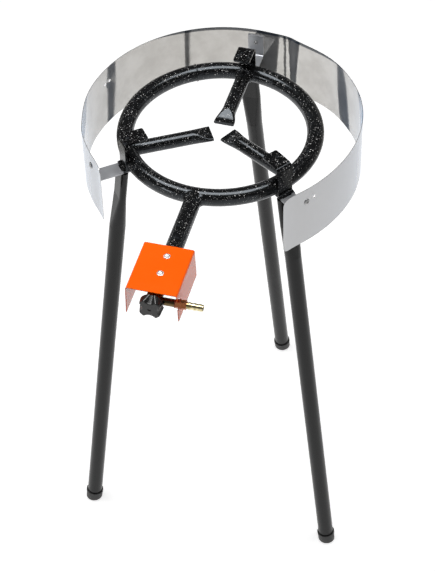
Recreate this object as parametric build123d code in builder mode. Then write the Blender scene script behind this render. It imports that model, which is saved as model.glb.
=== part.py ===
from build123d import *
import os
from math import asin, cos, degrees, radians, sin

# Gas burner on three plug-in legs: one flame ring with three inner arms, a front mixing tube with
# its tap and cover, and a sheet wind guard. Millimetres and degrees. The origin is on the floor
# under the ring's axis, +Z is up and the tap is at the front, towards -Y.

# Plan angles are measured from +X towards +Y; the front is towards -Y
front_angle = -90.0
back_angle = 89.0
full_turn = 360.0

# Heights
pan_seat_height = 800.0
pad_above_ring = 40.0

# Burner ring: a round tube bent round to a butt joint, with flame ports on its inner upper side
ring_diameter = 302.0
ring_tube_diameter = 25.0
ring_wall = 2.0
ring_joint = 0.2
ring_joint_angle = 120.0
ring_inlet_diameter = 18.0
ring_port_diameter = 2.4
ring_port_step_angle = 10.0
ring_port_tilt_angle = 40.0

# Flame arms: round tubes, pressed flat and closed at the inner end, some a little off the middle
arm_front_angle = 60.0
arm_diameter = 21.0
arm_wall = 2.0
arm_end_radii = {"left": 13.5, "right": 13.0, "back": 18.5}
arm_shifts = {"left": 0.0, "right": 2.5, "back": 0.0}
arm_flat_width = 30.5
arm_flat_thickness = 5.0
arm_flat_length = 4.0
arm_taper_length = 24.0
arm_taper_steps = 4
arm_port_diameter = 2.4
arm_port_pitch = 13.0
arm_port_count = 5
arm_port_tilt_angle = 35.0

# Pan brackets: strips bent over at the top into a pan pad and out at the bottom into a lip
bracket_front_angle = 52.0
bracket_width = 25.0
bracket_thickness = 3.0
bracket_seat = 2.0
bracket_bend = 8.0
pad_length = 37.0
pad_corner = 3.0
lip_drop = 12.0
lip_length = 4.0
lip_bend = 1.5

# Wind guard: a sheet band, open at the front. It is round where its brackets hold it, and springs
# outwards or inwards by these amounts midway between them and at its ends.
guard_diameter = 400.0
guard_height = 100.0
guard_rise = 33.5
guard_sheet = 0.8
guard_gap_angle = 80.5
guard_hold_margin = 1.2
guard_right_spring = 7.0
guard_left_spring = -0.5
guard_end_spring = 5.0
guard_spring_steps = 8
guard_corner = 10.0
spare_hole_diameter = 5.0
spare_hole_angles = (161.0, 164.2, -34.0)
spare_hole_rises = (6.5, 6.5, 12.0)

# Guard brackets: strips held between the pan brackets' lips and the leg tops, riveted to the guard
strip_width = 24.0
strip_thickness = 2.0
strip_bend = 3.0
strip_tail = 6.0
strip_rise = 36.5
rivet_above_ring = 10.0
rivet_diameter = 4.0
rivet_head_diameter = 9.0
rivet_head_height = 2.2
rivet_tail_diameter = 6.5
rivet_tail_height = 1.6

# Leg spigots: flat bars under the lips
spigot_width = 15.0
spigot_thickness = 7.0
spigot_length = 55.0
spigot_offset = 1.5
spigot_slack = 0.4

# Legs: round tubes with a pressed top; each foot lies outwards and sideways from its leg's top
leg_diameter = 24.5
leg_wall = 1.5
leg_flat_width = 30.0
leg_flat_thickness = 11.0
leg_flat_length = 50.0
leg_taper_length = 62.0
foot_outwards = {"left": 88.9, "right": 82.0, "back": 127.1}
foot_sideways = {"left": -20.6, "right": 27.0, "back": -23.5}

# Foot caps: plastic cups, cut level with the floor
cap_wall = 1.2
cap_sole = 6.0
cap_height = 18.0
cap_collar = 0.6
cap_collar_height = 5.0
cap_edge = 2.0

# Mixing tube, from the ring to the tap
tube_diameter = 25.0
tube_wall = 2.0
tube_reach = 314.0
air_hole_diameter = 10.0
air_hole_setback = 21.0
air_hole_turns = (45.0, 135.0)

# Tap cover: an inverted channel screwed down on the mixing tube, a little left of its axis
cover_width = 72.0
cover_length = 89.0
cover_offset = -3.5
cover_overhang = 4.7
cover_splay = 1.3
cover_depth = 48.2
cover_sheet = 1.2
cover_bend = 3.0
cover_notch_width = 17.0
cover_screw_setbacks = (38.5, 5.5)
cover_screw_offset = -0.9
screw_diameter = 4.0
screw_length = 6.0
screw_head_diameter = 10.0
screw_head_height = 3.2

# Tap, a little below and left of the mixing tube's axis; its outlet stub is on that axis
tap_drop = 5.0
tap_offset = -2.0
bush_length = 12.0
stub_diameter = 12.0
stub_bore = 6.0
body_diameter = 22.0
body_gap = 6.0
body_lip = 0.5
plug_diameter = 10.0
plug_length = 15.0
plug_clearance = 0.05
plug_end_gap = 1.0
stem_diameter = 7.0
stem_flat = 1.2
nut_across_flats = 17.0
nut_height = 2.5
seal_diameter = 11.0
seal_height = 1.3
jet_thread = 8.0
jet_thread_length = 6.0
jet_across_flats = 10.0
jet_head_length = 6.0
jet_tip_diameter = 6.0
jet_tip_length = 4.0
jet_hole = 1.2

# Hose nozzle, on the tap's right side
nozzle_ahead = 26.0
boss_diameter = 11.0
boss_length = 30.0
inlet_bore = 5.0
low_port = 1.6
washer_diameter = 12.5
washer_thickness = 1.2
nozzle_thread = 8.0
nozzle_thread_length = 8.0
nozzle_across_flats = 12.0
nozzle_hex_length = 14.8
nozzle_tail_diameter = 9.0
nozzle_tail_length = 23.0
nozzle_bore = 5.0
barb_diameter = 10.4
barb_length = 6.0
barb_count = 3
barb_pitch = 7.0

# Control knob: lobed, with hollows that deepen towards the front; its back cups the gland nut
knob_diameter = 34.0
knob_lobes = 4
knob_lobe_angle = 43.0
knob_hollow_centre = 20.5
knob_hollow_back = 1.5
knob_hollow_front = 6.0
knob_lobe_edge = 2.5
knob_depth = 12.5
knob_gap = 1.5
knob_edge = 1.5
knob_edge_steps = 3
knob_cup_clearance = 0.5
knob_grip_length = 7.0
knob_dimple_diameter = 5.0
knob_dimple_depth = 1.0

# Worked out from the sizes above
ring_height = pan_seat_height - pad_above_ring
ring_tube_radius = ring_tube_diameter / 2
ring_centre_radius = ring_diameter / 2 - ring_tube_radius
arm_angles = {
    "left": front_angle - arm_front_angle,
    "right": front_angle + arm_front_angle,
    "back": back_angle,
}
arm_bore = arm_diameter - 2 * arm_wall
arm_round_radii = {side: end + arm_flat_length + arm_taper_length for side, end in arm_end_radii.items()}
bracket_angles = {
    "left": front_angle - bracket_front_angle,
    "right": front_angle + bracket_front_angle,
    "back": back_angle,
}
bracket_inner_radius = ring_diameter / 2 - bracket_seat
bracket_outer_radius = bracket_inner_radius + bracket_thickness
lip_height = ring_height - lip_drop
guard_radius = guard_diameter / 2
guard_inner_radius = guard_radius - guard_sheet
guard_hold_angle = degrees((strip_width + guard_hold_margin) / guard_radius)
guard_start_angle = front_angle + guard_gap_angle / 2
guard_finish_angle = guard_start_angle + full_turn - guard_gap_angle
guard_bottom = ring_height + guard_rise - guard_height
rivet_height = ring_height + rivet_above_ring
leg_top_radius = bracket_outer_radius + spigot_offset
leg_top_height = lip_height - strip_thickness
tube_bore = tube_diameter - 2 * tube_wall
air_hole_reach = tube_reach - air_hole_setback
nozzle_reach = tube_reach + nozzle_ahead
cover_reach = nozzle_reach + cover_overhang
cover_screw_reaches = [tube_reach - setback for setback in cover_screw_setbacks]
cover_top = ring_height + tube_diameter / 2 + cover_sheet
tap_height = ring_height - tap_drop
stub_reach = tube_reach - bush_length
body_back = tube_reach + body_gap
body_front = nozzle_reach + boss_diameter / 2 + body_lip
knob_back = body_front + knob_gap
knob_front = knob_back + knob_depth
knob_grip_back = body_front + nut_height + knob_cup_clearance
knob_grip_front = knob_grip_back + knob_grip_length
plug_back = body_front - plug_length
stem_bore = stem_diameter + 2 * plug_clearance

# A pressed tube keeps this much straight where it turns round, so that both ends have four edges
round_straight = 0.3

# Trimmed ends and through holes run this far beyond their cut
trim = 12.0

frame_up = Vector(0, 0, 1)


def outward(angle):
    """Unit vector from the ring's axis at a plan angle."""
    return Vector(cos(radians(angle)), sin(radians(angle)), 0)


def radial_plane(angle, radius, height):
    """Plane that faces outwards; its Y points up."""
    origin = outward(angle) * radius + frame_up * height
    return Plane(origin=origin, x_dir=outward(angle + 90), z_dir=outward(angle))


def profile_plane(angle):
    """Upright plane through the ring's axis; its X points outwards and its Y up, from the floor."""
    return Plane(origin=(0, 0, 0), x_dir=outward(angle), z_dir=outward(angle - 90))


def front_plane(reach):
    """Plane across the mixing tube's axis that faces the front; its X points right and its Y up."""
    return Plane(origin=(0, -reach, ring_height), x_dir=(1, 0, 0), z_dir=(0, -1, 0))


def tap_plane(reach):
    """Plane across the tap's axis that faces the front; its X points right and its Y up."""
    return Plane(origin=(tap_offset, -reach, tap_height), x_dir=(1, 0, 0), z_dir=(0, -1, 0))


def nozzle_plane(distance):
    """Plane across the hose nozzle, at a distance from the tap's axis; its X points back, its Y up."""
    return Plane(origin=(tap_offset + distance, -nozzle_reach, tap_height), x_dir=(0, 1, 0), z_dir=(1, 0, 0))


def outward_across(turn):
    """Unit vector across the mixing tube, turned from +X towards +Z."""
    return Vector(cos(radians(turn)), 0, sin(radians(turn)))


def leg_line(side):
    """Plane at a leg's top, with its Z up the leg, and the leg's length down to the floor."""
    away = outward(bracket_angles[side])
    across = outward(bracket_angles[side] + 90)
    top = away * leg_top_radius + frame_up * leg_top_height
    foot = away * (leg_top_radius + foot_outwards[side]) + across * foot_sideways[side]
    return Plane(origin=top, x_dir=across, z_dir=top - foot), (top - foot).length


def save(part, name):
    part.label = name
    export_step(part, f"parts/{name}.step")


def ring_form():
    """The ring without its bore; what is welded to the ring is hollowed out by it."""
    with BuildPart() as form:
        with Locations((0, 0, ring_height)):
            Torus(ring_centre_radius, ring_tube_radius)
    return form.part


def arm_plane(side, radius):
    """Plane across an arm that faces outwards; its Y points up."""
    plane = radial_plane(arm_angles[side], radius, ring_height)
    origin = plane.origin + plane.x_dir * arm_shifts[side]
    return Plane(origin=origin, x_dir=plane.x_dir, z_dir=plane.z_dir)


def ring_port_planes():
    """One plane for each flame port of the ring, on the tube's centreline and facing the port."""
    clear = degrees(asin((arm_diameter / 2 + ring_port_diameter) / ring_centre_radius))
    shift_angles = {side: degrees(asin(shift / ring_centre_radius)) for side, shift in arm_shifts.items()}
    joints = [angle + shift_angles[side] for side, angle in arm_angles.items()]
    half_turn = full_turn / 2
    planes = []
    count = round(full_turn / ring_port_step_angle)
    for index in range(count):
        angle = (index + 0.5) * full_turn / count
        from_arms = [abs((angle - joint + half_turn) % full_turn - half_turn) for joint in joints]
        if min(from_arms) < clear:
            continue
        tilt = radians(ring_port_tilt_angle)
        facing = outward(angle) * -cos(tilt) + frame_up * sin(tilt)
        origin = outward(angle) * ring_centre_radius + frame_up * ring_height
        planes.append(Plane(origin=origin, x_dir=outward(angle + 90), z_dir=facing))
    return planes


def ring_openings():
    """The holes in the ring's tube: one into each arm, one from the mixing tube, and the ports."""
    with BuildPart() as openings:
        for side in arm_angles:
            with BuildSketch(arm_plane(side, ring_centre_radius)):
                Circle(arm_bore / 2)
            extrude(amount=-ring_tube_diameter)
        with BuildSketch(front_plane(ring_centre_radius)):
            Circle(ring_inlet_diameter / 2)
        extrude(amount=ring_tube_diameter)
        with Locations(*ring_port_planes()):
            Cylinder(
                ring_port_diameter / 2,
                ring_tube_diameter,
                align=(Align.CENTER, Align.CENTER, Align.MIN),
            )
    return openings.part


def make_ring():
    joint_turn = degrees(ring_joint / ring_centre_radius)
    with BuildPart() as ring:
        with BuildSketch(profile_plane(ring_joint_angle)):
            with Locations((ring_centre_radius, ring_height)):
                Circle(ring_tube_radius)
                Circle(ring_tube_radius - ring_wall, mode=Mode.SUBTRACT)
        revolve(axis=Axis.Z, revolution_arc=full_turn - joint_turn)
        add(ring_openings(), mode=Mode.SUBTRACT)
    return ring.part


def arm_port_planes(side):
    """One plane for each flame port of an arm, on both sides, facing out and up."""
    angle = arm_angles[side]
    planes = []
    for index in range(arm_port_count):
        origin = arm_plane(side, arm_round_radii[side] + (index + 0.5) * arm_port_pitch).origin
        for turn in (-90, 90):
            level = outward(angle + turn) * cos(radians(arm_port_tilt_angle))
            facing = level + frame_up * sin(radians(arm_port_tilt_angle))
            planes.append(Plane(origin=origin, x_dir=outward(angle), z_dir=facing))
    return planes


def make_arm(side):
    inner_end = arm_end_radii[side]
    flat_end = inner_end + arm_flat_length
    round_end = arm_round_radii[side]
    with BuildPart() as arm:
        with BuildSketch(arm_plane(side, inner_end)):
            SlotOverall(arm_flat_width, arm_flat_thickness)
        extrude(amount=arm_flat_length)
        for step in range(arm_taper_steps + 1):
            share = step / arm_taper_steps
            eased = share**2 * (3 - 2 * share)
            width = arm_flat_width + (arm_diameter + round_straight - arm_flat_width) * eased
            thickness = arm_flat_thickness + (arm_diameter - arm_flat_thickness) * eased
            with BuildSketch(arm_plane(side, flat_end + share * arm_taper_length)):
                SlotOverall(width, thickness)
        loft()
        with BuildSketch(arm_plane(side, round_end)):
            Circle(arm_diameter / 2)
        extrude(amount=ring_centre_radius - round_end)
        with BuildSketch(arm_plane(side, round_end)):
            Circle(arm_bore / 2)
        extrude(amount=ring_centre_radius - round_end, mode=Mode.SUBTRACT)
        with Locations(*arm_port_planes(side)):
            Cylinder(
                arm_port_diameter / 2,
                arm_diameter,
                align=(Align.CENTER, Align.CENTER, Align.MIN),
                mode=Mode.SUBTRACT,
            )
        add(ring_form(), mode=Mode.SUBTRACT)
    return arm.part


def make_pan_bracket(angle):
    pad_end = bracket_outer_radius - pad_length
    lip_end = bracket_outer_radius + lip_length
    lip_top = lip_height + bracket_thickness
    with BuildPart() as bracket:
        with BuildSketch(profile_plane(angle)):
            with BuildLine():
                FilletPolyline(
                    (pad_end, pan_seat_height),
                    (bracket_outer_radius, pan_seat_height),
                    (bracket_outer_radius, lip_top),
                    (lip_end, lip_top),
                    radius=(bracket_bend, lip_bend),
                )
                offset(amount=bracket_thickness, side=Side.RIGHT)
            make_face()
        extrude(amount=bracket_width / 2, both=True)
        inner_end = bracket.faces().filter_by(Axis(origin=(0, 0, 0), direction=outward(angle)))
        inner_end = inner_end.sort_by_distance(outward(angle) * pad_end + frame_up * pan_seat_height)[0]
        fillet(inner_end.edges().filter_by(Axis.Z), pad_corner)
        add(ring_form(), mode=Mode.SUBTRACT)
    return bracket.part


def spigot_form(side, slack):
    """A leg's spigot, widened by a slack and cut off level with the underside of the lip."""
    plane, _ = leg_line(side)
    with BuildPart() as form:
        with BuildSketch(plane.offset(trim)):
            Rectangle(spigot_width + 2 * slack, spigot_thickness + 2 * slack)
        extrude(amount=-(trim + spigot_length))
        split(bisect_by=Plane.XY.offset(lip_height), keep=Keep.BOTTOM)
    return form.part


def guard_place(angle, inset, spring=0.0):
    """A point of the guard's plan, drawn in by an inset."""
    return outward(angle) * (guard_radius - inset + spring)


def guard_line(inset):
    """The guard's plan line, drawn in by an inset."""
    half_hold = guard_hold_angle / 2
    right, back, left = (bracket_angles[side] for side in ("right", "back", "left"))
    left += full_turn
    with BuildLine() as line:
        for middle in (right, back, left):
            CenterArc((0, 0), guard_radius - inset, middle - half_hold, guard_hold_angle)
        for first, last, spring in ((right, back, guard_right_spring), (back, left, guard_left_spring)):
            first, last = first + half_hold, last - half_hold
            places = []
            for step in range(guard_spring_steps + 1):
                share = step / guard_spring_steps
                bulge = spring * sin(radians(180 * share)) ** 2
                places.append(guard_place(first + share * (last - first), inset, bulge))
            Spline(*places, tangents=(outward(first + 90), outward(last + 90)))
        ends = (
            (right - half_hold, -90, guard_start_angle),
            (left + half_hold, 90, guard_finish_angle),
        )
        for held, turn, end in ends:
            start = guard_place(held, inset)
            TangentArc(start, guard_place(end, inset, guard_end_spring), tangent=outward(held + turn))
    return line.line


def guard_corner_cuts():
    """What is cut away to round the guard's four corners."""
    ends = ((guard_start_angle, 1), (guard_finish_angle, -1))
    levels = ((guard_bottom, 1), (guard_bottom + guard_height, -1))
    with BuildPart() as cuts:
        for angle, along in ends:
            for height, inwards in levels:
                with BuildSketch(radial_plane(angle, guard_radius, height)):
                    Rectangle(2 * guard_corner, 2 * guard_corner)
                    with Locations((along * guard_corner, inwards * guard_corner)):
                        Circle(guard_corner, mode=Mode.SUBTRACT)
                extrude(amount=trim, both=True)
    return cuts.part


def make_guard():
    hole_places = [(angle, rivet_above_ring, rivet_diameter) for angle in bracket_angles.values()]
    for angle, rise in zip(spare_hole_angles, spare_hole_rises):
        hole_places.append((angle, rise, spare_hole_diameter))
    with BuildPart() as guard:
        with BuildSketch(Plane.XY.offset(guard_bottom)):
            with BuildLine():
                add(guard_line(0))
                add(guard_line(guard_sheet))
                for end in (guard_start_angle, guard_finish_angle):
                    outer_end = guard_place(end, 0, guard_end_spring)
                    Line(outer_end, guard_place(end, guard_sheet, guard_end_spring))
            make_face()
        extrude(amount=guard_height)
        add(guard_corner_cuts(), mode=Mode.SUBTRACT)
        for angle, rise, diameter in hole_places:
            with BuildSketch(radial_plane(angle, guard_radius, ring_height + rise)):
                Circle(diameter / 2)
            extrude(amount=trim, both=True, mode=Mode.SUBTRACT)
    return guard.part


def make_guard_bracket(side):
    angle = bracket_angles[side]
    tab_inner = guard_inner_radius - strip_thickness
    tail_end = leg_top_radius - spigot_thickness / 2 - strip_tail
    with BuildPart() as strip:
        with BuildSketch(profile_plane(angle)):
            with BuildLine():
                FilletPolyline(
                    (tail_end, lip_height),
                    (tab_inner, lip_height),
                    (tab_inner, lip_height + strip_rise),
                    radius=strip_bend,
                )
                offset(amount=strip_thickness, side=Side.RIGHT)
            make_face()
        extrude(amount=strip_width / 2, both=True)
        with Locations((0, 0, ring_height)):
            Cylinder(guard_inner_radius, 2 * guard_height, mode=Mode.INTERSECT)
        with BuildSketch(radial_plane(angle, guard_radius, rivet_height)):
            Circle(rivet_diameter / 2)
        extrude(amount=-(guard_radius - tab_inner + strip_thickness), mode=Mode.SUBTRACT)
        add(spigot_form(side, spigot_slack), mode=Mode.SUBTRACT)
    return strip.part


def dome(plane, diameter, height):
    """A rounded head that stands on a plane."""
    sphere_radius = (diameter**2 / 4 + height**2) / (2 * height)
    with BuildPart() as head:
        with BuildSketch(Plane(origin=plane.origin, x_dir=plane.x_dir, z_dir=-plane.y_dir)):
            with BuildLine():
                Line((0, 0), (diameter / 2, 0))
                RadiusArc((diameter / 2, 0), (0, height), -sphere_radius)
                Line((0, height), (0, 0))
            make_face()
        revolve(axis=Axis(plane.origin, plane.z_dir))
    return head.part


def make_rivets():
    tab_inner = guard_inner_radius - strip_thickness
    with BuildPart() as rivets:
        for angle in bracket_angles.values():
            outside = radial_plane(angle, guard_radius, rivet_height)
            add(dome(outside, rivet_head_diameter, rivet_head_height))
            with BuildSketch(outside):
                Circle(rivet_diameter / 2)
            extrude(amount=-(guard_radius - tab_inner))
            with BuildSketch(radial_plane(angle, tab_inner, rivet_height)):
                Circle(rivet_tail_diameter / 2)
            extrude(amount=-rivet_tail_height)
    return rivets.part


def pressed_tube(side, diameter, flat_width, flat_thickness, length):
    """A leg's round tube with its pressed top, filled to a diameter."""
    plane, _ = leg_line(side)
    taper_end = leg_flat_length + leg_taper_length
    with BuildPart() as tube:
        with BuildSketch(plane.offset(trim)):
            SlotOverall(flat_width, flat_thickness)
        extrude(amount=-(trim + leg_flat_length))
        with BuildSketch(plane.offset(-leg_flat_length)):
            SlotOverall(flat_width, flat_thickness)
        with BuildSketch(plane.offset(-taper_end)):
            SlotOverall(diameter + round_straight, diameter)
        loft()
        with BuildSketch(plane.offset(-taper_end)):
            Circle(diameter / 2)
        extrude(amount=-(length - taper_end))
    return tube.part


def make_leg(side):
    _, length = leg_line(side)
    tube_length = length - cap_sole
    inset = 2 * leg_wall
    inner = (leg_diameter - inset, leg_flat_width - inset, leg_flat_thickness - inset)
    with BuildPart() as leg:
        add(pressed_tube(side, leg_diameter, leg_flat_width, leg_flat_thickness, tube_length))
        add(pressed_tube(side, *inner, tube_length + trim), mode=Mode.SUBTRACT)
        split(bisect_by=Plane.XY.offset(leg_top_height), keep=Keep.BOTTOM)
    return leg.part


def make_foot_cap(side):
    plane, length = leg_line(side)
    cap_radius = leg_diameter / 2 + cap_wall
    with BuildPart() as cap:
        with BuildSketch(plane.offset(cap_height - length)):
            Circle(cap_radius)
        extrude(amount=-(cap_height + trim))
        with BuildSketch(plane.offset(cap_height - length)):
            Circle(cap_radius + cap_collar)
        extrude(amount=-cap_collar_height)
        with BuildSketch(plane.offset(cap_sole - length)):
            Circle(leg_diameter / 2)
        extrude(amount=cap_height, mode=Mode.SUBTRACT)
        split(bisect_by=Plane.XY, keep=Keep.TOP)
        fillet(cap.faces().sort_by(Axis.Z)[0].edges(), cap_edge)
    return cap.part


def make_mixing_tube():
    with BuildPart() as tube:
        with BuildSketch(front_plane(ring_centre_radius)):
            Circle(tube_diameter / 2)
        extrude(amount=tube_reach - ring_centre_radius)
        with BuildSketch(front_plane(ring_centre_radius)):
            Circle(tube_bore / 2)
        extrude(amount=tube_reach - ring_centre_radius, mode=Mode.SUBTRACT)
        middle = front_plane(air_hole_reach).origin
        for turn in air_hole_turns:
            drill = Plane(middle, x_dir=(0, 1, 0), z_dir=outward_across(turn))
            with BuildSketch(drill):
                Circle(air_hole_diameter / 2)
            extrude(amount=tube_diameter, both=True, mode=Mode.SUBTRACT)
        add(screw_shanks(), mode=Mode.SUBTRACT)
        add(ring_form(), mode=Mode.SUBTRACT)
    return tube.part


def screw_shanks():
    """The cover screws' shanks, which are also their holes."""
    with BuildPart() as shanks:
        for reach in cover_screw_reaches:
            with BuildSketch(Plane.XY.offset(cover_top)):
                with Locations((cover_screw_offset, -reach)):
                    Circle(screw_diameter / 2)
            extrude(amount=-screw_length)
    return shanks.part


def make_bush():
    with BuildPart() as bush:
        with BuildSketch(front_plane(stub_reach)):
            Circle(tube_bore / 2)
            Circle(stub_diameter / 2, mode=Mode.SUBTRACT)
        extrude(amount=bush_length)
        add(screw_shanks(), mode=Mode.SUBTRACT)
    return bush.part


def make_cover():
    left = cover_offset - cover_width / 2
    right = cover_offset + cover_width / 2
    cover_bottom = cover_top - cover_depth
    with BuildPart() as cover:
        with BuildSketch(Plane.XZ.offset(cover_reach - cover_length)):
            with BuildLine():
                FilletPolyline(
                    (left - cover_splay, cover_bottom),
                    (left, cover_top),
                    (right, cover_top),
                    (right + cover_splay, cover_bottom),
                    radius=cover_bend,
                )
                offset(amount=cover_sheet, side=Side.RIGHT)
            make_face()
        extrude(amount=cover_length)
        with BuildSketch(nozzle_plane(right + cover_splay - tap_offset)):
            Circle(cover_notch_width / 2)
            with Locations((-cover_overhang, 0)):
                Rectangle(2 * cover_overhang, cover_notch_width)
        extrude(amount=-2 * (cover_sheet + cover_splay), mode=Mode.SUBTRACT)
        add(screw_shanks(), mode=Mode.SUBTRACT)
    return cover.part


def make_screws():
    with BuildPart() as screws:
        add(screw_shanks())
        for reach in cover_screw_reaches:
            seat = Plane(origin=(cover_screw_offset, -reach, cover_top), x_dir=(1, 0, 0), z_dir=(0, 0, 1))
            add(dome(seat, screw_head_diameter, screw_head_height))
    return screws.part


def make_valve_body():
    with BuildPart() as body:
        with BuildSketch(tap_plane(body_back)):
            Circle(body_diameter / 2)
        extrude(amount=body_front - body_back)
        with BuildSketch(front_plane(stub_reach)):
            Circle(stub_diameter / 2)
        extrude(amount=body_back - stub_reach)
        with BuildSketch(nozzle_plane(0)):
            Circle(boss_diameter / 2)
        extrude(amount=boss_length)
        with BuildSketch(tap_plane(body_front)):
            Circle(plug_diameter / 2)
        extrude(amount=-(plug_length + plug_end_gap), mode=Mode.SUBTRACT)
        with BuildSketch(front_plane(stub_reach)):
            Circle(stub_bore / 2)
        extrude(amount=plug_back - stub_reach, mode=Mode.SUBTRACT)
        with BuildSketch(front_plane(stub_reach)):
            Circle(jet_thread / 2)
        extrude(amount=jet_thread_length, mode=Mode.SUBTRACT)
        with BuildSketch(nozzle_plane(0)):
            Circle(inlet_bore / 2)
        extrude(amount=boss_length, mode=Mode.SUBTRACT)
        with BuildSketch(nozzle_plane(boss_length)):
            Circle(nozzle_thread / 2)
        extrude(amount=-nozzle_thread_length, mode=Mode.SUBTRACT)
    return body.part


def make_injector():
    with BuildPart() as jet:
        with BuildSketch(front_plane(stub_reach)):
            Circle(jet_thread / 2)
        extrude(amount=jet_thread_length)
        with BuildSketch(front_plane(stub_reach)):
            RegularPolygon(jet_across_flats / 2, 6, major_radius=False)
        extrude(amount=-jet_head_length)
        with BuildSketch(front_plane(stub_reach - jet_head_length)):
            Circle(jet_tip_diameter / 2)
        extrude(amount=-jet_tip_length)
        with BuildSketch(front_plane(stub_reach + jet_thread_length)):
            Circle(jet_hole / 2)
        extrude(amount=-(jet_thread_length + jet_head_length + jet_tip_length), mode=Mode.SUBTRACT)
    return jet.part


def make_spindle():
    with BuildPart() as spindle:
        with BuildSketch(tap_plane(plug_back)):
            Circle(plug_diameter / 2 - plug_clearance)
        extrude(amount=plug_length - plug_end_gap)
        with BuildSketch(tap_plane(plug_back)):
            Circle(stem_diameter / 2)
        extrude(amount=knob_grip_front - plug_back)
        with BuildSketch(tap_plane(knob_grip_front)):
            with Locations((0, stem_diameter - stem_flat)):
                Rectangle(stem_diameter, stem_diameter)
        extrude(amount=-knob_grip_length, mode=Mode.SUBTRACT)
        with BuildSketch(tap_plane(plug_back)):
            Circle(stub_bore / 2)
        extrude(amount=nozzle_reach - plug_back, mode=Mode.SUBTRACT)
        with BuildSketch(Plane.XY.offset(tap_height)):
            with Locations((tap_offset, -nozzle_reach)):
                Circle(inlet_bore / 2)
        extrude(amount=-plug_diameter, mode=Mode.SUBTRACT)
        with BuildSketch(nozzle_plane(0)):
            Circle(low_port / 2)
        extrude(amount=-plug_diameter, mode=Mode.SUBTRACT)
    return spindle.part


def make_gland_nut():
    with BuildPart() as nut:
        with BuildSketch(tap_plane(body_front)):
            RegularPolygon(nut_across_flats / 2, 6, major_radius=False)
            Circle(stem_bore / 2, mode=Mode.SUBTRACT)
        extrude(amount=nut_height)
        with BuildSketch(tap_plane(body_front)):
            Circle(seal_diameter / 2)
        extrude(amount=seal_height, mode=Mode.SUBTRACT)
    return nut.part


def make_seal():
    with BuildPart() as seal:
        with BuildSketch(tap_plane(body_front)):
            Circle(seal_diameter / 2)
            Circle(stem_bore / 2, mode=Mode.SUBTRACT)
        extrude(amount=seal_height)
    return seal.part


def make_washer():
    with BuildPart() as washer:
        with BuildSketch(nozzle_plane(boss_length)):
            Circle(washer_diameter / 2)
            Circle(nozzle_thread / 2, mode=Mode.SUBTRACT)
        extrude(amount=washer_thickness)
    return washer.part


def make_nozzle():
    hex_start = boss_length + washer_thickness
    tail_start = hex_start + nozzle_hex_length
    tail_end = tail_start + nozzle_tail_length
    thread_start = boss_length - nozzle_thread_length
    with BuildPart() as nozzle:
        with BuildSketch(nozzle_plane(thread_start)):
            Circle(nozzle_thread / 2)
        extrude(amount=hex_start - thread_start)
        with BuildSketch(nozzle_plane(hex_start)):
            RegularPolygon(nozzle_across_flats / 2, 6, major_radius=False)
        extrude(amount=nozzle_hex_length)
        with BuildSketch(nozzle_plane(tail_start)):
            Circle(nozzle_tail_diameter / 2)
        extrude(amount=nozzle_tail_length)
        for index in range(barb_count):
            with Locations(nozzle_plane(tail_end - barb_length - index * barb_pitch)):
                Cone(
                    barb_diameter / 2,
                    nozzle_tail_diameter / 2,
                    barb_length,
                    align=(Align.CENTER, Align.CENTER, Align.MIN),
                )
        with BuildSketch(nozzle_plane(thread_start)):
            Circle(nozzle_bore / 2)
        extrude(amount=tail_end - thread_start, mode=Mode.SUBTRACT)
    return nozzle.part


def make_knob():
    first_hollow = knob_lobe_angle + full_turn / knob_lobes / 2
    cup_radius = nut_across_flats / 2 / cos(radians(30)) + knob_cup_clearance
    sections = [(knob_back, knob_hollow_back, 0.0)]
    for step in range(knob_edge_steps + 1):
        turn = radians(90) * step / knob_edge_steps
        reach = knob_front - knob_edge * (1 - sin(turn))
        sections.append((reach, knob_hollow_front, knob_edge * (1 - cos(turn))))
    with BuildPart() as knob:
        for reach, hollow_depth, inset in sections:
            hollow_radius = knob_hollow_centre - knob_diameter / 2 + hollow_depth + inset
            with BuildSketch(tap_plane(reach)) as outline:
                Circle(knob_diameter / 2 - inset)
                with PolarLocations(knob_hollow_centre, knob_lobes, start_angle=first_hollow):
                    Circle(hollow_radius, mode=Mode.SUBTRACT)
                fillet(outline.vertices(), knob_lobe_edge - inset)
        loft(ruled=True)
        with BuildSketch(tap_plane(knob_back)):
            Circle(cup_radius)
        extrude(amount=knob_grip_back - knob_back, mode=Mode.SUBTRACT)
        with BuildSketch(tap_plane(knob_grip_back)):
            Circle(stem_diameter / 2)
            with Locations((0, stem_diameter - stem_flat)):
                Rectangle(stem_diameter, stem_diameter, mode=Mode.SUBTRACT)
        extrude(amount=knob_grip_length, mode=Mode.SUBTRACT)
        with BuildSketch(tap_plane(knob_front)):
            Circle(knob_dimple_diameter / 2)
        extrude(amount=-knob_dimple_depth, mode=Mode.SUBTRACT)
    return knob.part


os.makedirs("parts", exist_ok=True)

save(make_ring(), "burner_ring")
for side in arm_angles:
    save(make_arm(side), f"burner_arm_{side}")
for side, angle in bracket_angles.items():
    save(make_pan_bracket(angle), f"pan_bracket_{side}")
    save(spigot_form(side, 0), f"leg_spigot_{side}")
    save(make_guard_bracket(side), f"guard_bracket_{side}")
    save(make_leg(side), f"leg_{side}")
    save(make_foot_cap(side), f"foot_cap_{side}")
save(make_guard(), "wind_guard")
save(make_rivets(), "guard_rivets")
save(make_mixing_tube(), "mixing_tube")
save(make_cover(), "valve_cover")
save(make_screws(), "cover_screws")
save(make_bush(), "injector_bush")
save(make_injector(), "gas_injector")
save(make_valve_body(), "valve_body")
save(make_spindle(), "valve_spindle")
save(make_gland_nut(), "gland_nut")
save(make_seal(), "spindle_seal")
save(make_washer(), "nozzle_washer")
save(make_nozzle(), "hose_nozzle")
save(make_knob(), "control_knob")
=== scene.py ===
from math import cos, hypot, pi, radians, sin, sqrt

import bmesh
import bpy
from mathutils import Matrix, Vector, noise


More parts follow.
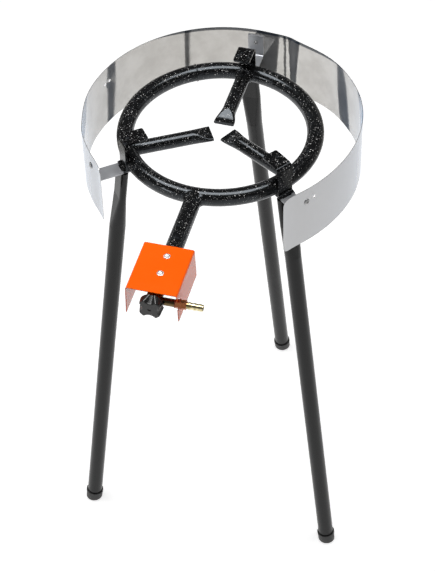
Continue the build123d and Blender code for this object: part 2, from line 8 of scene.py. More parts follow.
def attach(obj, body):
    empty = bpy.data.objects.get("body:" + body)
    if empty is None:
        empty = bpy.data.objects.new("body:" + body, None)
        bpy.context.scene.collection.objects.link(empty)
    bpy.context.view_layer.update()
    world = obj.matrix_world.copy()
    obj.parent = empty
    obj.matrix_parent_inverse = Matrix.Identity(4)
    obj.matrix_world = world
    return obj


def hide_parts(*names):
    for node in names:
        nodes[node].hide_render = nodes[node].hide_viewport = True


# Gas burner on three legs: finishes for the CAD nodes, weld beads, detailed screws and rivets,
# and a white studio. Metres, in the frame of the CAD model: the origin is on the floor under the
# ring's axis, +Z is up and the tap is towards -Y.

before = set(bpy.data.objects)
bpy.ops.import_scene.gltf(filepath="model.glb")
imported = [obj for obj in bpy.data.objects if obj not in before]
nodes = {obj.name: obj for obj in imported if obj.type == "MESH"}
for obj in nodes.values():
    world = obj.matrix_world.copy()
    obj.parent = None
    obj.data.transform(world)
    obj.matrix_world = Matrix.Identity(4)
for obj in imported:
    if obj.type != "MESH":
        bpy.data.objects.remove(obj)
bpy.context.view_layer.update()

# Sizes repeated from the CAD model
ring_height = 0.760
ring_centre_radius = 0.1385
ring_tube_radius = 0.0125
ring_joint_angle = 120.0
arm_angles = {"left": 210.0, "right": 330.0, "back": 89.0}
arm_shifts = {"left": 0.0, "right": 0.0025, "back": 0.0}
arm_radius = 0.0105
bracket_angles = {"left": 218.0, "right": 322.0, "back": 89.0}
bracket_inner_radius = 0.149
bracket_width = 0.025
guard_radius = 0.200
guard_top = 0.7935
guard_sheet = 0.0008
strip_thickness = 0.002
rivet_height = 0.770
front_angle = 270.0
tube_radius = 0.0125
cover_top = 0.7737
cover_screw_reaches = (0.2755, 0.3085)
cover_screw_offset = -0.0009
nozzle_hex_start, nozzle_hex_end = 0.0285, 0.0445

up = Vector((0, 0, 1))


def outward(angle):
    """Unit vector from the ring's axis at a plan angle."""
    return Vector((cos(radians(angle)), sin(radians(angle)), 0))


# Node graphs

# Places of a mix node's inputs and output for colours
mix_share, mix_first, mix_second = 0, 6, 7
mix_colour = 2


class Finish:
    """One procedural material: short calls that add its nodes and link them."""

    def __init__(self, name):
        self.material = bpy.data.materials.new(name)
        self.material.use_nodes = True
        self.tree = self.material.node_tree
        self.shader = self.tree.nodes["Principled BSDF"]
        self.place = self.node("ShaderNodeTexCoord").outputs["Object"]

    def node(self, kind, **settings):
        """Adds a node and gives it its settings."""
        made = self.tree.nodes.new(kind)
        for name, value in settings.items():
            setattr(made, name, value)
        return made

    def feed(self, socket, value):
        """Links a socket to another one, or sets its number or colour."""
        if isinstance(value, bpy.types.NodeSocket):
            self.tree.links.new(value, socket)
        else:
            socket.default_value = value

    def set(self, **values):
        """Sets or links the shader's inputs, named with _ for each space."""
        for name, value in values.items():
            self.feed(self.shader.inputs[name.replace("_", " ")], value)

    def stretch(self, x, y, z):
        """The object's own coordinates, scaled along each axis."""
        mapping = self.node("ShaderNodeMapping")
        self.feed(mapping.inputs["Vector"], self.place)
        mapping.inputs["Scale"].default_value = (x, y, z)
        return mapping.outputs["Vector"]

    def noise(self, scale, detail=3.0, roughness=0.5, place=None):
        made = self.node("ShaderNodeTexNoise")
        self.feed(made.inputs["Vector"], place or self.place)
        made.inputs["Scale"].default_value = scale
        made.inputs["Detail"].default_value = detail
        made.inputs["Roughness"].default_value = roughness
        return made.outputs["Fac"]

    def math(self, operation, a, b, clamp=False):
        made = self.node("ShaderNodeMath", operation=operation, use_clamp=clamp)
        self.feed(made.inputs[0], a)
        self.feed(made.inputs[1], b)
        return made.outputs[0]

    def span(self, value, low, high, to_low, to_high):
        """Maps a value between two limits smoothly to a value between two others."""
        made = self.node("ShaderNodeMapRange", interpolation_type="SMOOTHSTEP")
        for socket, number in zip(made.inputs, (value, low, high, to_low, to_high)):
            self.feed(socket, number)
        return made.outputs["Result"]

    def mix(self, share, a, b):
        """Mixes two colours; a share of 1 gives the second."""
        made = self.node("ShaderNodeMix", data_type="RGBA")
        self.feed(made.inputs[mix_share], share)
        self.feed(made.inputs[mix_first], a)
        self.feed(made.inputs[mix_second], b)
        return made.outputs[mix_colour]

    def bump(self, height, strength, distance, below=None):
        """A normal raised by a height, on top of another normal if one is given."""
        made = self.node("ShaderNodeBump")
        made.inputs["Strength"].default_value = strength
        made.inputs["Distance"].default_value = distance
        self.feed(made.inputs["Height"], height)
        if below is not None:
            self.feed(made.inputs["Normal"], below)
        return made.outputs["Normal"]

    def specks(self, scale, bare_share, largest, softness):
        """Round specks, one in a cell at most, of random sizes; sizes are in cells."""
        cells = self.node("ShaderNodeTexVoronoi")
        self.feed(cells.inputs["Vector"], self.place)
        cells.inputs["Scale"].default_value = scale
        parts = self.node("ShaderNodeSeparateColor")
        self.feed(parts.inputs[0], cells.outputs["Color"])
        radius = self.span(parts.outputs[0], bare_share, 1.0, 0.0, largest)
        inside = self.math("SUBTRACT", radius, cells.outputs["Distance"])
        return self.math("MULTIPLY", inside, 1.0 / softness, clamp=True)


def grey(level, warmth=0.0):
    """A grey, or a warm one whose red is raised and whose blue is lowered by a share."""
    return (level * (1 + warmth), level, level * (1 - warmth), 1.0)


enamel_roughness_spread = 1.6


def enamel(name, roughness, ior):
    """Black enamel with fine white specks; its roughness varies upwards from the one given."""
    f = Finish(name)
    clouds = f.span(f.noise(130.0, 3.0, 0.6), 0.50, 0.75, 0.0, 1.0)
    ground = f.mix(clouds, grey(0.003), (0.022, 0.024, 0.027, 1.0))
    large = f.specks(330.0, 0.40, 0.34, 0.13)
    small = f.specks(640.0, 0.38, 0.36, 0.16)
    dots = f.math("MAXIMUM", large, f.math("MULTIPLY", small, 0.7))
    worn = f.span(f.noise(30.0, 4.0), 0.62, 0.80, 0.0, 0.12)
    peel = f.bump(f.noise(260.0, 2.0), 0.10, 0.0006)
    gloss = f.span(f.noise(70.0), 0.3, 0.7, roughness, enamel_roughness_spread * roughness)
    f.set(
        Base_Color=f.mix(dots, ground, grey(0.50, 0.02)),
        Roughness=f.math("ADD", gloss, worn),
        IOR=ior,
        Specular_Tint=(0.86, 0.93, 1.0, 1.0),
        Normal=f.bump(dots, 0.25, 0.0002, peel),
    )
    return f.material


# The dark line along the guard's top edge at the back is painted: a painted dark reflection on the inner
# face below the edge, and painted shade on the cut edge.
guard_rim_width = 0.005
guard_rim_edge = 0.0006
guard_rim_start, guard_rim_full = 0.64 * guard_radius, 0.92 * guard_radius
guard_cut_full = 0.7 * guard_radius


def guard_steel():
    """Bright rolled sheet: faint grain, soft smudges, an inner face toned apart from the outer one as
    painted reflected light, and a dark rim at the back that is painted: a dark reflection on the inner
    face and shade on the cut edge.
    """
    f = Finish("bright_sheet")
    shape = f.node("ShaderNodeNewGeometry")
    flat = f.node("ShaderNodeVectorMath", operation="MULTIPLY")
    f.feed(flat.inputs[0], shape.outputs["Position"])
    flat.inputs[1].default_value = (1.0 / guard_radius, 1.0 / guard_radius, 0.0)
    facing = f.node("ShaderNodeVectorMath", operation="DOT_PRODUCT")
    f.feed(facing.inputs[0], flat.outputs["Vector"])
    f.feed(facing.inputs[1], shape.outputs["True Normal"])
    outside = f.span(facing.outputs["Value"], -0.5, 0.5, 0.0, 1.0)
    upward = f.node("ShaderNodeSeparateXYZ")
    f.feed(upward.inputs[0], shape.outputs["True Normal"])
    place = f.node("ShaderNodeSeparateXYZ")
    f.feed(place.inputs[0], f.place)
    # The upward-facing cut edge, darkened as painted shade, more towards the back.
    cut_edge_and_painted_shade = f.span(upward.outputs["Z"], 0.4, 0.8, 0.0, 1.0)
    cut_edge_and_painted_shade = f.math("MULTIPLY", cut_edge_and_painted_shade, f.span(place.outputs["Y"], 0.0, guard_cut_full, 0.25, 1.0))
    # Band on the inner face just under the top edge, widest at the back: a painted dark reflection.
    rim_width = f.span(place.outputs["Y"], guard_rim_start, guard_rim_full, 0.0, guard_rim_width)
    below_top = f.math("SUBTRACT", guard_top, place.outputs["Z"])
    rim = f.span(f.math("SUBTRACT", rim_width, below_top), 0.0, guard_rim_edge, 0.0, 1.0)
    rim = f.math("MULTIPLY", rim, f.math("SUBTRACT", 1.0, outside))
    smudge = f.noise(9.0, 5.0, 0.6)
    grain = f.noise(40.0, 3.0, 0.6, f.stretch(1.0, 1.0, 60.0))
    mottle = f.span(f.noise(34.0, 3.0, 0.6), 0.3, 0.7, 0.0, 1.0)
    # The inner and outer faces of the one sheet get separate tones, painted to match the light each face
    # reflects.
    inner_face_painted_tone = f.mix(mottle, (0.53, 0.51, 0.475, 1.0), (0.63, 0.61, 0.575, 1.0))
    outer_face_painted_tone = f.mix(smudge, grey(0.53), grey(0.58))
    # The painted shade on the cut edge and the painted dark reflection, together.
    dark = f.math("MAXIMUM", cut_edge_and_painted_shade, rim)
    haze = f.span(smudge, 0.3, 0.7, 0.03, 0.06)
    f.set(
        Base_Color=f.mix(dark, f.mix(outside, inner_face_painted_tone, outer_face_painted_tone), grey(0.10)),
        Metallic=0.68,
        Roughness=f.math("ADD", haze, f.span(grain, 0.3, 0.7, 0.0, 0.02)),
        Sheen_Weight=0.3,
        Sheen_Roughness=0.5,
        Sheen_Tint=(0.35, 0.60, 1.0, 1.0),
        Normal=f.bump(grain, 0.02, 0.0002, f.bump(f.noise(11.0, 1.0), 0.05, 0.004)),
    )
    return f.material


def strip_steel():
    """Satin zinc-coated strip with drawing lines and dull patches."""
    f = Finish("zinc_strip")
    lines = f.noise(55.0, 4.0, 0.7, f.stretch(1.0, 1.0, 14.0))
    patches = f.noise(60.0, 4.0, 0.6)
    f.set(
        Base_Color=f.mix(patches, (0.41, 0.42, 0.44, 1.0), (0.49, 0.50, 0.52, 1.0)),
        Metallic=0.75,
        Roughness=f.span(patches, 0.25, 0.75, 0.34, 0.42),
        Normal=f.bump(lines, 0.01, 0.0003),
    )
    return f.material


def rivet_metal():
    """Tumbled aluminium."""
    f = Finish("rivet_aluminium")
    dents = f.noise(700.0, 3.0, 0.6)
    f.set(
        Base_Color=f.mix(dents, grey(0.24), grey(0.42)),
        Metallic=1.0,
        Roughness=f.span(dents, 0.3, 0.7, 0.22, 0.40),
        Normal=f.bump(dents, 0.15, 0.0003),
    )
    return f.material


def leg_paint():
    """Satin black paint on steel tube, slightly uneven, with a few pale rubs."""
    f = Finish("leg_paint")
    tone = f.noise(6.0, 4.0, 0.6, f.stretch(1.0, 1.0, 0.35))
    rubs = f.span(f.noise(55.0, 5.0, 0.7, f.stretch(1.0, 1.0, 0.12)), 0.66, 0.78, 0.0, 0.5)
    ground = f.mix(tone, grey(0.004), grey(0.009))
    grain = f.noise(420.0, 3.0, 0.6)
    f.set(
        Base_Color=f.mix(rubs, ground, grey(0.05)),
        Roughness=f.math("ADD", f.span(tone, 0.3, 0.7, 0.20, 0.28), f.math("MULTIPLY", rubs, 0.15)),
        IOR=1.35,
        Normal=f.bump(grain, 0.10, 0.0004),
    )
    return f.material


def foot_plastic():
    """Matt black moulded caps, dusty near the floor."""
    f = Finish("foot_plastic")
    height = f.node("ShaderNodeSeparateXYZ")
    f.feed(height.inputs[0], f.place)
    dust = f.math("MULTIPLY", f.noise(160.0, 4.0, 0.6), f.span(height.outputs["Z"], 0.0, 0.012, 0.5, 0.0))
    grain = f.noise(900.0, 2.0)
    f.set(
        Base_Color=f.mix(dust, grey(0.016), grey(0.16, 0.05)),
        Roughness=f.span(grain, 0.3, 0.7, 0.42, 0.55),
        Normal=f.bump(grain, 0.12, 0.0003),
    )
    return f.material


def cover_paint():
    """Orange powder coat with a fine orange peel and a little grime."""
    f = Finish("orange_coat")
    tone = f.noise(22.0, 4.0, 0.6)
    peel = f.noise(620.0, 2.0)
    grime = f.span(f.noise(70.0, 5.0, 0.7), 0.66, 0.82, 0.0, 0.25)
    paint = f.mix(tone, (0.96, 0.110, 0.0006, 1.0), (1.0, 0.124, 0.0008, 1.0))
    f.set(
        Base_Color=f.mix(grime, paint, (0.62, 0.07, 0.004, 1.0)),
        Roughness=f.span(tone, 0.3, 0.7, 0.13, 0.18),
        IOR=1.45,
        Normal=f.bump(peel, 0.08, 0.0003),
    )
    return f.material


def screw_steel():
    """Bright zinc with faint turning marks."""
    f = Finish("bright_zinc")
    marks = f.noise(900.0, 3.0, 0.6)
    f.set(
        Base_Color=f.mix(marks, grey(0.80), grey(0.92)),
        Metallic=1.0,
        Roughness=f.span(marks, 0.3, 0.7, 0.30, 0.42),
        Normal=f.bump(marks, 0.08, 0.0002),
    )
    return f.material


brass_zone_edge = 0.0005


def brass():
    """Machined brass with patchy tarnish: a tap whose tarnish is deepened by painted shade under the
    cover, a nozzle hexagon tinted red-brown as a painted reflection of the orange cover, and a bright
    tail.
    """
    f = Finish("machined_brass")
    tarnish = f.noise(130.0, 4.0, 0.65)
    marks = f.noise(300.0, 3.0, 0.6, f.stretch(12.0, 1.0, 1.0))
    place = f.node("ShaderNodeSeparateXYZ")
    f.feed(place.inputs[0], f.place)
    hexagon = f.span(place.outputs["X"], nozzle_hex_end - brass_zone_edge, nozzle_hex_end, 1.0, 0.0)
    tap = f.span(place.outputs["X"], nozzle_hex_start - brass_zone_edge, nozzle_hex_start, 1.0, 0.0)
    patches = f.span(tarnish, 0.40, 0.60, 0.0, 1.0)
    tail_metal = f.mix(patches, (0.85, 0.74, 0.44, 1.0), (0.34, 0.28, 0.12, 1.0))
    # Red-brown on the nozzle hexagon: a painted reflection of the orange cover.
    hexagon_painted_orange_reflection = f.mix(tarnish, (0.34, 0.10, 0.04, 1.0), (0.62, 0.24, 0.10, 1.0))
    # Dark tap: tarnish deepened by painted shade under the cover's roof.
    tap_tarnish_and_painted_shade = f.mix(tarnish, (0.10, 0.07, 0.035, 1.0), (0.22, 0.15, 0.07, 1.0))
    f.set(
        Base_Color=f.mix(tap, f.mix(hexagon, tail_metal, hexagon_painted_orange_reflection), tap_tarnish_and_painted_shade),
        Metallic=1.0,
        Roughness=f.span(tarnish, 0.3, 0.8, 0.16, 0.36),
        Normal=f.bump(marks, 0.08, 0.0002),
    )
    return f.material


def seal_rubber():
    """Dull black rubber."""
    f = Finish("seal_rubber")
    grain = f.noise(1200.0, 2.0)
    f.set(
        Base_Color=f.mix(grain, grey(0.018), grey(0.034)),
        Roughness=f.span(grain, 0.3, 0.7, 0.55, 0.70),
        Normal=f.bump(grain, 0.15, 0.0002),
    )
    return f.material


def washer_fibre():
    """Red-brown pressed fibre."""
    f = Finish("washer_fibre")
    fibres = f.noise(800.0, 4.0, 0.7)
    f.set(
        Base_Color=f.mix(fibres, (0.22, 0.045, 0.025, 1.0), (0.38, 0.09, 0.05, 1.0)),
        Roughness=f.span(fibres, 0.3, 0.7, 0.60, 0.75),
        Normal=f.bump(fibres, 0.2, 0.0002),
    )
    return f.material


def knob_plastic():
    """Black moulded plastic, half gloss, with fine scuffs."""
    f = Finish("knob_plastic")
    grain = f.noise(750.0, 2.0)
    scuffs = f.span(f.noise(240.0, 5.0, 0.7, f.stretch(1.0, 0.3, 1.0)), 0.62, 0.78, 0.0, 0.3)
    f.set(
        Base_Color=f.mix(scuffs, grey(0.016), grey(0.06)),
        Roughness=f.math("ADD", f.span(grain, 0.3, 0.7, 0.14, 0.20), f.math("MULTIPLY", scuffs, 0.4)),
        Normal=f.bump(grain, 0.06, 0.0003),
    )
    return f.material


finishes = {
    "enamel": enamel("speckled_enamel", 0.14, 1.52),
    "guard_steel": guard_steel(),
    "strip_steel": strip_steel(),
    "rivet_metal": rivet_metal(),
    "leg_paint": leg_paint(),
    "foot_plastic": foot_plastic(),
    "cover_paint": cover_paint(),
    "screw_steel": screw_steel(),
    "brass": brass(),
    "seal_rubber": seal_rubber(),
    "washer_fibre": washer_fibre(),
    "knob_plastic": knob_plastic(),
}

sides = ("left", "right", "back")
slot_nodes = {
    "enamel": ["burner_ring", "mixing_tube"]
    + [f"{kind}_{side}" for kind in ("burner_arm", "pan_bracket", "leg_spigot") for side in sides],
    "guard_steel": ["wind_guard"],
    "strip_steel": [f"guard_bracket_{side}" for side in sides],
    "rivet_metal": ["guard_rivets"],
    "leg_paint": [f"leg_{side}" for side in sides],
    "foot_plastic": [f"foot_cap_{side}" for side in sides],
    "cover_paint": ["valve_cover"],
    "screw_steel": ["cover_screws"],
    "brass": ["valve_body", "gas_injector", "injector_bush", "gland_nut", "hose_nozzle", "valve_spindle"],
    "seal_rubber": ["spindle_seal"],
    "washer_fibre": ["nozzle_washer"],
    "knob_plastic": ["control_knob"],
}
for slot, names in slot_nodes.items():
    for name in names:
        slots = nodes[name].data.materials
        slots.clear()
        slots.append(finishes[slot])

bracket_enamel = enamel("bracket_enamel", 0.10, 1.40)
for side in sides:
    nodes[f"pan_bracket_{side}"].data.materials[0] = bracket_enamel


# Weld beads


def add_piece(name, mesh_builder, slot, body):
    """Makes a smooth mesh object from a bmesh and lets it ride on a body."""
    mesh = bpy.data.meshes.new(name)
    bmesh.ops.recalc_face_normals(mesh_builder, faces=mesh_builder.faces)
    mesh_builder.to_mesh(mesh)
    mesh_builder.free()
    for face in mesh.polygons:
        face.use_smooth = True
    piece = bpy.data.objects.new(name, mesh)
    bpy.context.scene.collection.objects.link(piece)
    piece.data.materials.append(finishes[slot])
    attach(piece, body)
    return piece


bead_ripple_pitch = 0.0024
bead_ripple_share = 0.10
bead_lump_share = 0.30
bead_lump_scale = 140.0
bead_end_share = 0.35
bead_end_growth = 6.4
bead_sides = 10


def bead(name, points, radius, closed):
    """A weld bead: a lumpy tube along points, drawn in at its ends where it isn't closed."""
    made = bmesh.new()
    count = len(points)
    travelled = 0.0
    rings = []
    for index, point in enumerate(points):
        before = points[index - 1] if closed or index else point
        after = points[(index + 1) % count] if closed or index < count - 1 else point
        along = (after - before).normalized()
        if index:
            travelled += (point - points[index - 1]).length
        if rings:
            first = (first - along * first.dot(along)).normalized()
        else:
            first = along.orthogonal().normalized()
        second = along.cross(first)
        ripple = 1.0 + bead_ripple_share * sin(2 * pi * travelled / bead_ripple_pitch)
        lump = 1.0 + bead_lump_share * noise.noise(point * bead_lump_scale)
        from_end = min(index, count - 1 - index) / count
        end = 1.0 if closed else min(1.0, bead_end_share + bead_end_growth * from_end)
        size = radius * ripple * lump * end
        ring = []
        for step in range(bead_sides):
            turn = 2 * pi * step / bead_sides
            ring.append(made.verts.new(point + (first * cos(turn) + second * sin(turn)) * size))
        rings.append(ring)
    for index in range(count if closed else count - 1):
        here, there = rings[index], rings[(index + 1) % count]
        for step in range(bead_sides):
            follow = (step + 1) % bead_sides
            made.faces.new((here[step], here[follow], there[follow], there[step]))
    if not closed:
        made.faces.new(rings[0])
        made.faces.new(rings[-1])
    return add_piece(name, made, "enamel", "burner")


arm_joint_steps = 96
tube_joint_steps = 90


def joint_line(angle, radius, side, count, shift=0.0):
    """Where a straight tube that points at a plan angle meets the ring; side is 1 outside, -1 inside."""
    points = []
    for step in range(count):
        turn = 2 * pi * step / count
        across, rise = shift + radius * cos(turn), radius * sin(turn)
        level = ring_centre_radius + side * sqrt(max(ring_tube_radius**2 - rise**2, 0.0))
        reach = sqrt(level**2 - across**2)
        points.append(outward(angle) * reach + outward(angle + 90) * across + up * (ring_height + rise))
    return points


def ring_middle(point):
    """The nearest point of the ring tube's centreline."""
    level = Vector((point.x, point.y, 0)).normalized()
    return level * ring_centre_radius + up * ring_height


fillet_steps = 8
fillet_sink = 0.0003
fillet_root = 0.002
fillet_lump = 0.0003
fillet_lump_scale = 160.0


def fillet_weld(name, angle, radius, side, size):
    """A concave weld where a straight tube that points at a plan angle meets the ring."""
    made = bmesh.new()
    rings = []
    for corner in joint_line(angle, radius, side, tube_joint_steps):
        on_axis = outward(angle) * corner.dot(outward(angle)) + up * ring_height
        tube_normal = (corner - on_axis).normalized()
        ring_normal = (corner - ring_middle(corner)).normalized()
        alike = tube_normal.dot(ring_normal)
        along_tube = (ring_normal - tube_normal * alike).normalized()
        along_ring = (tube_normal - ring_normal * alike).normalized()
        width = size * sqrt(max(1.0 - alike**2, 0.0)) + fillet_sink
        tube_end = corner + along_tube * width - tube_normal * fillet_sink
        ring_end = corner + along_ring * width
        middle = ring_middle(ring_end)
        ring_end = middle + (ring_end - middle).normalized() * (ring_tube_radius - fillet_sink)
        bisector = (tube_normal + ring_normal).normalized()
        ring = [made.verts.new(corner - bisector * fillet_root)]
        for step in range(fillet_steps + 1):
            share = step / fillet_steps
            place = tube_end * (1 - share) ** 2 + corner * 2 * share * (1 - share) + ring_end * share**2
            lump = fillet_lump * noise.noise(place * fillet_lump_scale) * sin(pi * share)
            ring.append(made.verts.new(place + bisector * lump))
        rings.append(ring)
    for index, here in enumerate(rings):
        there = rings[(index + 1) % len(rings)]
        for step in range(len(here)):
            follow = (step + 1) % len(here)
            made.faces.new((here[step], here[follow], there[follow], there[step]))
    return add_piece(name, made, "enamel", "burner")


weld_radius = 0.0026
tube_weld_size = 0.008
for side, angle in arm_angles.items():
    line = joint_line(angle, arm_radius, -1, arm_joint_steps, arm_shifts[side])
    bead(f"weld_arm_{side}", line, weld_radius, True)
fillet_weld("weld_mixing_tube", front_angle, tube_radius, 1, tube_weld_size)

bracket_weld_radius = 0.0020
bracket_weld_rise = 0.0082
bracket_weld_inset = 0.0012
bracket_weld_share = 0.94
bracket_weld_steps = 39
for side, angle in bracket_angles.items():
    for label, sign in (("upper", 1), ("lower", -1)):
        line = []
        for step in range(bracket_weld_steps + 1):
            across = (step / bracket_weld_steps - 0.5) * bracket_width * bracket_weld_share
            reach = bracket_inner_radius - bracket_weld_inset
            place = outward(angle) * reach + outward(angle + 90) * across
            line.append(place + up * (ring_height + sign * bracket_weld_rise))
        bead(f"weld_bracket_{side}_{label}", line, bracket_weld_radius, False)

butt_weld_radius = 0.0011
butt_weld_steps = 48
butt_line = []
for step in range(butt_weld_steps):
    turn = 2 * pi * step / butt_weld_steps
    reach = ring_centre_radius + ring_tube_radius * cos(turn)
    butt_line.append(outward(ring_joint_angle) * reach + up * (ring_height + ring_tube_radius * sin(turn)))
bead("weld_ring_joint", butt_line, butt_weld_radius, True)


# Screw and rivet heads: a dome with a cross or a mandrel hole pressed into it


def smooth_step(low, high, value):
    """Rises smoothly from 0 at low to 1 at high; high may be the smaller one."""
    share = min(max((value - low) / (high - low), 0.0), 1.0)
    return share * share * (3 - 2 * share)


dome_rim_share = 0.25
dome_roundness = 2.6


def dome_height(radius, height, distance):
    """Height of a rounded head at a distance from its axis, with an upright rim."""
    share = min(distance / radius, 1.0)
    crown = sqrt(max(1.0 - share**dome_roundness, 0.0))
    return height * (dome_rim_share + (1.0 - dome_rim_share) * crown)


screw_head_radius, screw_head_height = 0.005, 0.0031
screw_dome_radius = 0.0038
screw_dome_roundness = 2.4
screw_flange_height = 0.0008
screw_flange_edge = 0.0004


def flanged_height(radius, height, distance):
    """Height of a head with a flat flange round a smaller dome."""
    share = min(distance / screw_dome_radius, 1.0)
    rim = smooth_step(radius, radius - screw_flange_edge, distance)
    dome = (height - screw_flange_height) * sqrt(1.0 - share**screw_dome_roundness)
    return screw_flange_height * (0.5 + 0.5 * rim) + dome


cross_half_length, cross_half_width = 0.0019, 0.00045
cross_depth = 0.0010
cross_edge = 0.00025
cross_run_out = 1.2 * cross_half_length
cross_slope = 0.3


def cross_recess(x, y):
    """Depth of a cross slot in a screw head."""
    arms = []
    for along, across in ((abs(x), abs(y)), (abs(y), abs(x))):
        ends = smooth_step(cross_half_length + cross_edge, cross_half_length - cross_edge, along)
        flanks = smooth_step(cross_half_width + cross_edge, cross_half_width, across)
        arms.append(ends * flanks)
    return cross_depth * max(arms) * smooth_step(cross_run_out, 0.0, hypot(x, y)) ** cross_slope


rivet_head_radius, rivet_head_height = 0.0045, 0.0019
rivet_tail_radius, rivet_tail_height = 0.00325, 0.0022
mandrel_hole_radius, mandrel_hole_edge, mandrel_hole_depth = 0.0014, 0.00025, 0.0016
mandrel_radius, mandrel_edge, mandrel_height = 0.00095, 0.0002, 0.0007


def mandrel_hole(x, y):
    """Depth of a blind rivet's hole, with the broken mandrel inside it."""
    distance = hypot(x, y)
    hole = smooth_step(mandrel_hole_radius + mandrel_hole_edge, mandrel_hole_radius, distance)
    mandrel = smooth_step(mandrel_radius + mandrel_edge, mandrel_radius, distance)
    return hole * mandrel_hole_depth - mandrel * mandrel_height


def no_recess(x, y):
    """Depth of nothing, for a plain head."""
    return 0.0


def circle(radius, count):
    """Points of a circle about the origin."""
    turns = [2 * pi * step / count for step in range(count)]
    return [(radius * cos(turn), radius * sin(turn)) for turn in turns]


def head_rings(made, place, radius, height, recess, profile=dome_height):
    """Adds a closed head to a bmesh; place is a matrix whose Z is the head's axis, at its seat."""
    rows, columns = 26, 64
    previous = None
    for row in range(rows + 1):
        distance = radius * (1.0 - row / rows)
        if row == rows:
            top = made.verts.new(place @ Vector((0, 0, profile(radius, height, 0.0) - recess(0.0, 0.0))))
            for step in range(columns):
                made.faces.new((previous[step], previous[(step + 1) % columns], top))
            continue
        ring = []
        for x, y in circle(distance, columns):
            level = profile(radius, height, distance) - recess(x, y)
            ring.append(made.verts.new(place @ Vector((x, y, level))))
        if previous is None:
            foot = [made.verts.new(place @ Vector((x, y, 0))) for x, y in circle(radius, columns)]
            made.faces.new(foot)
            previous = foot
        for step in range(columns):
            follow = (step + 1) % columns
            made.faces.new((previous[step], previous[follow], ring[follow], ring[step]))
        previous = ring


def seat(origin, axis, turn=0.0):
    """Matrix at a seat, with its Z along an axis, turned about it."""
    spin = Matrix.Rotation(radians(turn), 4, "Z")
    return Matrix.Translation(origin) @ axis.to_track_quat("Z", "Y").to_matrix().to_4x4() @ spin


screw_turns = (18.0, -27.0)
screws = bmesh.new()
for reach, turn in zip(cover_screw_reaches, screw_turns):
    place = seat(Vector((cover_screw_offset, -reach, cover_top)), up, turn)
    head_rings(screws, place, screw_head_radius, screw_head_height, cross_recess, flanged_height)
screw_heads = add_piece("cover_screw_heads", screws, "screw_steel", "burner")
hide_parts("cover_screws")

rivet_inner_face = guard_radius - guard_sheet - strip_thickness
rivets = bmesh.new()
for angle in bracket_angles.values():
    away = outward(angle)
    head_seat = seat(away * guard_radius + up * rivet_height, away)
    tail_seat = seat(away * rivet_inner_face + up * rivet_height, -away)
    head_rings(rivets, head_seat, rivet_head_radius, rivet_head_height, mandrel_hole)
    head_rings(rivets, tail_seat, rivet_tail_radius, rivet_tail_height, no_recess)
rivet_heads = add_piece("guard_rivet_heads", rivets, "rivet_metal", "burner")
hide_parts("guard_rivets")


# Studio: white floor, dim room with a pale horizon, soft boxes overhead, low at the left and at the right


def plain_tree(owner):
    """The emptied node tree of a material or world."""
    owner.use_nodes = True
    owner.node_tree.nodes.clear()
    return owner.node_tree


floor_half = 30.0
floor_glow = 0.64
floor_level = 0.8
floor_mesh = bpy.data.meshes.new("floor")
corners = [(floor_half * x, floor_half * y, 0) for x, y in ((-1, -1), (1, -1), (1, 1), (-1, 1))]
floor_mesh.from_pydata(corners, [], [(0, 1, 2, 3)])
floor = bpy.data.objects.new("floor", floor_mesh)
bpy.context.scene.collection.objects.link(floor)

floor_white = bpy.data.materials.new("floor_white")
tree = plain_tree(floor_white)
path = tree.nodes.new("ShaderNodeLightPath")
shown = tree.nodes.new("ShaderNodeMath")
shown.operation = "MAXIMUM"
tree.links.new(path.outputs["Is Camera Ray"], shown.inputs[0])
tree.links.new(path.outputs["Is Glossy Ray"], shown.inputs[1])
strength = tree.nodes.new("ShaderNodeMath")
strength.operation = "MULTIPLY"
strength.inputs[1].default_value = floor_glow
tree.links.new(shown.outputs[0], strength.inputs[0])
glow = tree.nodes.new("ShaderNodeEmission")
tree.links.new(strength.outputs[0], glow.inputs["Strength"])
matt = tree.nodes.new("ShaderNodeBsdfDiffuse")
matt.inputs["Color"].default_value = grey(floor_level)
both = tree.nodes.new("ShaderNodeAddShader")
tree.links.new(glow.outputs[0], both.inputs[0])
tree.links.new(matt.outputs[0], both.inputs[1])
output = tree.nodes.new("ShaderNodeOutputMaterial")
tree.links.new(both.outputs[0], output.inputs["Surface"])
floor_mesh.materials.append(floor_white)

scene = bpy.context.scene
scene.view_settings.view_transform = "Standard"

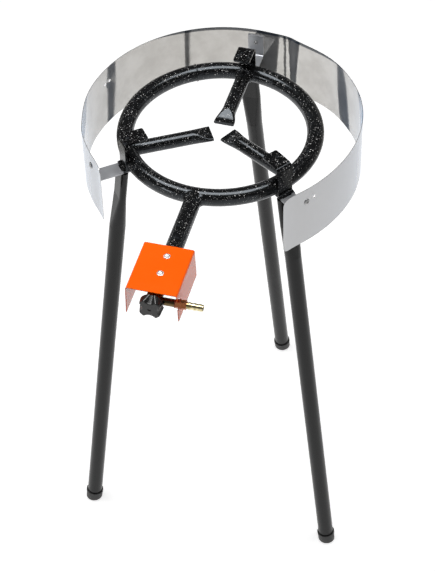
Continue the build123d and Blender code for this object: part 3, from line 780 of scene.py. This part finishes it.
horizon_low, horizon_high = 0.10, 0.32
horizon_strength, zenith_strength = 0.95, 0.12
world = bpy.data.worlds.new("studio")
scene.world = world
tree = plain_tree(world)
direction = tree.nodes.new("ShaderNodeTexCoord")
height = tree.nodes.new("ShaderNodeSeparateXYZ")
tree.links.new(direction.outputs["Generated"], height.inputs[0])
level = tree.nodes.new("ShaderNodeMapRange")
level.interpolation_type = "SMOOTHSTEP"
level.inputs["From Min"].default_value = horizon_low
level.inputs["From Max"].default_value = horizon_high
level.inputs["To Min"].default_value = horizon_strength
level.inputs["To Max"].default_value = zenith_strength
tree.links.new(height.outputs["Z"], level.inputs["Value"])
sky = tree.nodes.new("ShaderNodeBackground")
tree.links.new(level.outputs["Result"], sky.inputs["Strength"])
output = tree.nodes.new("ShaderNodeOutputWorld")
tree.links.new(sky.outputs[0], output.inputs["Surface"])


def soft_box(name, place, target, width, length, radiance):
    """An area lamp of a size and radiance that faces a target."""
    lamp = bpy.data.lights.new(name, "AREA")
    lamp.shape = "RECTANGLE"
    lamp.size, lamp.size_y = width, length
    lamp.energy = radiance * pi * width * length
    holder = bpy.data.objects.new(name, lamp)
    holder.location = place
    holder.rotation_mode = "QUATERNION"
    holder.rotation_quaternion = (Vector(target) - Vector(place)).to_track_quat("-Z", "Y")
    scene.collection.objects.link(holder)


box_height = 2.35
soft_box("overhead_box", (-0.25, 0.0, box_height), (-0.25, 0.0, 0.0), width=1.7, length=0.8, radiance=7.4)
soft_box("right_box", (0.75, 0.35, box_height), (0.75, 0.35, 0.0), width=0.3, length=0.5, radiance=6.0)
low_target = (-0.06, -0.13, ring_height)
soft_box("low_box", (-1.90, -2.36, 1.56), low_target, width=0.55, length=0.30, radiance=12.0)


# Camera, recovered from the photograph: azimuth, elevation and roll in degrees, lens in pixels

image_height = 572
focal_pixels = 1892.48
camera_azimuth, camera_elevation, camera_roll = 16.2, 46.34, -1.71
camera_distance = 2.99015
target_shift, target_drop = -0.01121, 0.32765
camera_target = Vector((target_shift, 0.0, ring_height - target_drop))
sensor_size = 36.0

azimuth, elevation, roll = (radians(angle) for angle in (camera_azimuth, camera_elevation, camera_roll))
back = Vector((sin(azimuth) * cos(elevation), -cos(azimuth) * cos(elevation), sin(elevation)))
level_right = Vector((cos(azimuth), sin(azimuth), 0))
level_up = back.cross(level_right)
right = level_right * cos(roll) + level_up * sin(roll)
top = level_up * cos(roll) - level_right * sin(roll)

lens = bpy.data.cameras.new("camera")
lens.sensor_width = sensor_size
lens.lens = focal_pixels * lens.sensor_width / image_height
lens.clip_start, lens.clip_end = 0.05, 100.0
camera = bpy.data.objects.new("camera", lens)
turned = Matrix((right, top, back)).transposed().to_4x4()
camera.matrix_world = Matrix.Translation(camera_target + back * camera_distance) @ turned
scene.collection.objects.link(camera)
scene.camera = camera
